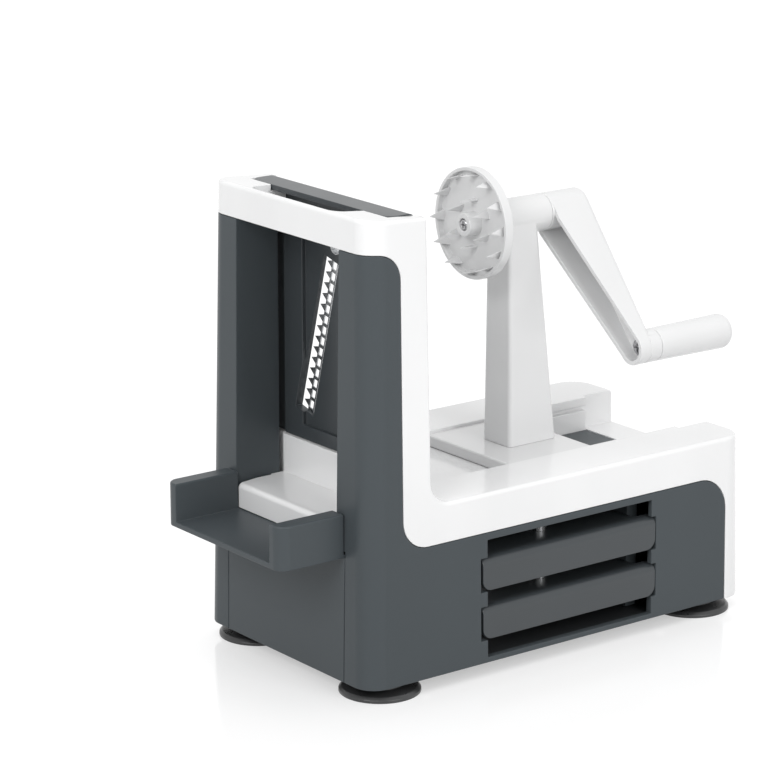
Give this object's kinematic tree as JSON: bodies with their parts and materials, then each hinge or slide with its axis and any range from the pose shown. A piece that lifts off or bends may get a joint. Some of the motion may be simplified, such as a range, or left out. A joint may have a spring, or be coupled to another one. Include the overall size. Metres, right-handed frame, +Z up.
{
  "type": "spiralizer",
  "caption": "Hand cranked vegetable spiralizer with a sliding prong carriage, lift-out blade insert, stored inserts in the base, front tray and suction feet.",
  "frame": {"origin": "centre of the footprint of the whole part, on the table", "axes": "+X from the tray towards the crank, along the carriage's travel; +Z up"},
  "size_m": [0.3106, 0.1564, 0.2614],
  "materials": {
    "anthracite_shell": "satin moulded plastic",
    "anthracite_insert": "satin moulded plastic",
    "black_cover": "matt moulded plastic",
    "black_rubber": "soft semi gloss rubber",
    "white_shell": "gloss white moulded plastic",
    "white_moulding": "gloss white moulded plastic",
    "bearing_plastic": "natural bearing plastic",
    "blade_steel": "ground stainless steel",
    "fastener_steel": "plated steel"
  },
  "bodies": {
    "root": {"base_body": "anthracite_shell", "bottom_cover": "black_cover", "cover_screws": "fastener_steel", "foot_front_far": "black_rubber", "foot_front_near": "black_rubber", "foot_rear_far": "black_rubber", "foot_rear_near": "black_rubber", "frame_screws": "fastener_steel", "front_tray": "anthracite_shell", "top_frame": "white_shell"},
    "carriage": {"bush_front": "bearing_plastic", "bush_rear": "bearing_plastic", "carriage_column": "white_moulding", "carriage_plate": "white_moulding", "column_screws": "fastener_steel"},
    "spindle": {"crank_arm": "white_moulding", "crank_screw": "fastener_steel", "disc_screw": "fastener_steel", "drive_shaft": "fastener_steel", "prong_disc": "white_moulding"},
    "handle": {"handle_axle": "fastener_steel", "handle_grip": "white_moulding"},
    "insert": {"insert_comb_blade": "blade_steel", "insert_core_ring": "blade_steel", "insert_frame": "anthracite_insert", "insert_rivets": "fastener_steel", "insert_slicing_blade": "blade_steel"},
    "upper_insert": {"upper_insert_comb_blade": "blade_steel", "upper_insert_core_ring": "blade_steel", "upper_insert_frame": "anthracite_insert", "upper_insert_rivets": "fastener_steel", "upper_insert_slicing_blade": "blade_steel"},
    "lower_insert": {"lower_insert_core_ring": "blade_steel", "lower_insert_frame": "anthracite_insert", "lower_insert_rivets": "fastener_steel", "lower_insert_slicing_blade": "blade_steel"}
  },
  "joints": [
    {"name": "carriage_slide", "type": "slide", "parent": "root", "child": "carriage", "axis": [1, 0, 0], "range_m": [-0.074, 0.058]},
    {"name": "crank_turn", "type": "hinge", "parent": "carriage", "child": "spindle", "pos_m": [0.04, 0, 0.2303], "axis": [1, 0, 0], "continuous": true},
    {"name": "handle_turn", "type": "hinge", "parent": "spindle", "child": "handle", "pos_m": [0.128, -0.05664, 0.16036], "axis": [1, 0, 0], "continuous": true},
    {"name": "insert_lift", "type": "slide", "parent": "root", "child": "insert", "axis": [0, 0, 1], "range_m": [0, 0.145]},
    {"name": "upper_insert_pull", "type": "slide", "parent": "root", "child": "upper_insert", "axis": [0, -1, 0], "range_m": [0, 0.145]},
    {"name": "lower_insert_pull", "type": "slide", "parent": "root", "child": "lower_insert", "axis": [0, -1, 0], "range_m": [0, 0.145]}
  ]
}
